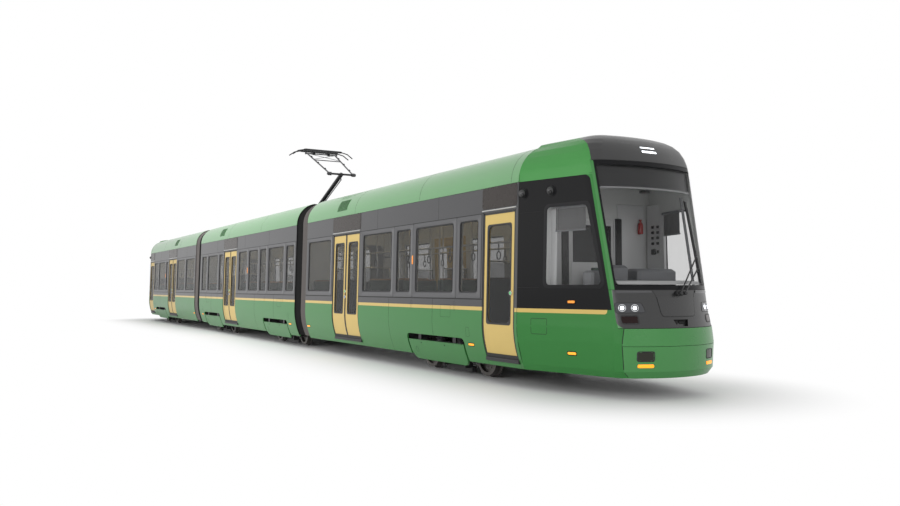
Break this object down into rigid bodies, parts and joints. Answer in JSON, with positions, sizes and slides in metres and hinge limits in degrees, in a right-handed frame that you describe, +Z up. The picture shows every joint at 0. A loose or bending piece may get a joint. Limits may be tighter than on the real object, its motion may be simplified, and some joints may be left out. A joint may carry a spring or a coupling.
{
  "type": "three-section articulated tram",
  "caption": "Low-floor articulated city tram with a cab at each end, bellows between hinged sections, steering bogies and a folding roof pantograph.",
  "frame": {"origin": "centre of the tram at the height of the wheel flanges' lowest points", "axes": "+X along the tram towards its front cab, +Y to its left, +Z up"},
  "size_m": [32.6396, 2.65, 5.1659],
  "materials": {
    "body_green": "gloss",
    "roof_green": "gloss",
    "door_gold": "satin",
    "window_glass": "gloss",
    "mask_black": "gloss",
    "lamp_lens": "gloss",
    "cab_grey": "matte",
    "lining_grey": "satin",
    "seat_green": "matte",
    "floor_grey": "satin",
    "unit_grey": "satin",
    "bellows_rubber": "matte",
    "bogie_grey": "satin",
    "wheel_steel": "satin",
    "collector_steel": "satin",
    "wiper_black": "matte"
  },
  "bodies": {
    "front_section": {"front_underframe": "floor_grey", "front_side_walls": "body_green", "front_roof": "roof_green", "front_windows": "window_glass", "front_doors": "door_gold", "front_seats": "seat_green", "front_roof_units": "unit_grey", "front_portals": "lining_grey", "front_cab_shell": "body_green", "front_cab_mask": "mask_black", "front_bumper": "body_green", "front_lamps": "lamp_lens", "front_windscreen": "window_glass", "front_bulkhead": "lining_grey", "front_desk": "cab_grey", "front_wiper": "wiper_black", "front_bellows": "bellows_rubber"},
    "middle_section": {"middle_underframe": "floor_grey", "middle_side_walls": "body_green", "middle_roof": "roof_green", "middle_windows": "window_glass", "middle_doors": "door_gold", "middle_seats": "seat_green", "middle_roof_units": "unit_grey", "middle_portals": "lining_grey", "pantograph_base": "collector_steel"},
    "rear_section": {"rear_underframe": "floor_grey", "rear_side_walls": "body_green", "rear_roof": "roof_green", "rear_windows": "window_glass", "rear_doors": "door_gold", "rear_seats": "seat_green", "rear_roof_units": "unit_grey", "rear_portals": "lining_grey", "rear_cab_shell": "body_green", "rear_cab_mask": "mask_black", "rear_bumper": "body_green", "rear_lamps": "lamp_lens", "rear_windscreen": "window_glass", "rear_bulkhead": "lining_grey", "rear_desk": "cab_grey", "rear_wiper": "wiper_black", "rear_bellows": "bellows_rubber"},
    "bogie_1": {"bogie_1_frame": "bogie_grey"},
    "bogie_1_wheelset_a": {"bogie_1_wheelset_a": "wheel_steel"},
    "bogie_1_wheelset_b": {"bogie_1_wheelset_b": "wheel_steel"},
    "bogie_2": {"bogie_2_frame": "bogie_grey"},
    "bogie_2_wheelset_a": {"bogie_2_wheelset_a": "wheel_steel"},
    "bogie_2_wheelset_b": {"bogie_2_wheelset_b": "wheel_steel"},
    "bogie_3": {"bogie_3_frame": "bogie_grey"},
    "bogie_3_wheelset_a": {"bogie_3_wheelset_a": "wheel_steel"},
    "bogie_3_wheelset_b": {"bogie_3_wheelset_b": "wheel_steel"},
    "bogie_4": {"bogie_4_frame": "bogie_grey"},
    "bogie_4_wheelset_a": {"bogie_4_wheelset_a": "wheel_steel"},
    "bogie_4_wheelset_b": {"bogie_4_wheelset_b": "wheel_steel"},
    "pantograph_lower": {"pantograph_lower_arm": "collector_steel"},
    "pantograph_upper": {"pantograph_upper_arm": "collector_steel"},
    "pantograph_collector": {"pantograph_head": "collector_steel"}
  },
  "joints": [
    {"name": "front_articulation", "type": "hinge", "parent": "middle_section", "child": "front_section", "pos_m": [5.28, 0, 0.43], "axis": [0, 0, 1], "range_deg": [-25, 25], "deforming": ["front_bellows"]},
    {"name": "rear_articulation", "type": "hinge", "parent": "middle_section", "child": "rear_section", "pos_m": [-5.28, 0, 0.43], "axis": [0, 0, -1], "range_deg": [-25, 25], "deforming": ["rear_bellows"]},
    {"name": "bogie_1_steer", "type": "hinge", "parent": "front_section", "child": "bogie_1", "pos_m": [11.85, 0, 0.42], "axis": [0, 0, 1], "range_deg": [-7, 7]},
    {"name": "bogie_1_wheelset_a_spin", "type": "hinge", "parent": "bogie_1", "child": "bogie_1_wheelset_a", "pos_m": [12.775, 0, 0.326], "axis": [0, 1, 0], "continuous": true},
    {"name": "bogie_1_wheelset_b_spin", "type": "hinge", "parent": "bogie_1", "child": "bogie_1_wheelset_b", "pos_m": [10.925, 0, 0.326], "axis": [0, 1, 0], "continuous": true},
    {"name": "bogie_2_steer", "type": "hinge", "parent": "middle_section", "child": "bogie_2", "pos_m": [3.27, 0, 0.42], "axis": [0, 0, 1], "range_deg": [-7, 7]},
    {"name": "bogie_2_wheelset_a_spin", "type": "hinge", "parent": "bogie_2", "child": "bogie_2_wheelset_a", "pos_m": [4.195, 0, 0.326], "axis": [0, 1, 0], "continuous": true},
    {"name": "bogie_2_wheelset_b_spin", "type": "hinge", "parent": "bogie_2", "child": "bogie_2_wheelset_b", "pos_m": [2.345, 0, 0.326], "axis": [0, 1, 0], "continuous": true},
    {"name": "bogie_3_steer", "type": "hinge", "parent": "middle_section", "child": "bogie_3", "pos_m": [-3.27, 0, 0.42], "axis": [0, 0, -1], "range_deg": [-7, 7]},
    {"name": "bogie_3_wheelset_a_spin", "type": "hinge", "parent": "bogie_3", "child": "bogie_3_wheelset_a", "pos_m": [-2.345, 0, 0.326], "axis": [0, 1, 0], "continuous": true},
    {"name": "bogie_3_wheelset_b_spin", "type": "hinge", "parent": "bogie_3", "child": "bogie_3_wheelset_b", "pos_m": [-4.195, 0, 0.326], "axis": [0, 1, 0], "continuous": true},
    {"name": "bogie_4_steer", "type": "hinge", "parent": "rear_section", "child": "bogie_4", "pos_m": [-11.85, 0, 0.42], "axis": [0, 0, -1], "range_deg": [-7, 7]},
    {"name": "bogie_4_wheelset_a_spin", "type": "hinge", "parent": "bogie_4", "child": "bogie_4_wheelset_a", "pos_m": [-10.925, 0, 0.326], "axis": [0, 1, 0], "continuous": true},
    {"name": "bogie_4_wheelset_b_spin", "type": "hinge", "parent": "bogie_4", "child": "bogie_4_wheelset_b", "pos_m": [-12.775, 0, 0.326], "axis": [0, 1, 0], "continuous": true},
    {"name": "pantograph_base_pivot", "type": "hinge", "parent": "middle_section", "child": "pantograph_lower", "pos_m": [2.61, 0, 3.5], "axis": [0, 1, 0], "range_deg": [-12, 20.5]},
    {"name": "pantograph_knee", "type": "hinge", "parent": "pantograph_lower", "child": "pantograph_upper", "pos_m": [4.624, 0, 4.357], "axis": [0, 1, 0], "range_deg": [-45, 26.5]},
    {"name": "pantograph_head_pivot", "type": "hinge", "parent": "pantograph_upper", "child": "pantograph_collector", "pos_m": [3.19, 0, 5.07], "axis": [0, 1, 0], "range_deg": [-14.5, 24.5]}
  ],
  "couplings": [
    {"joint": "pantograph_knee", "follows": "pantograph_base_pivot", "ratio": -2.17},
    {"joint": "pantograph_head_pivot", "follows": "pantograph_base_pivot", "ratio": 1.17}
  ]
}
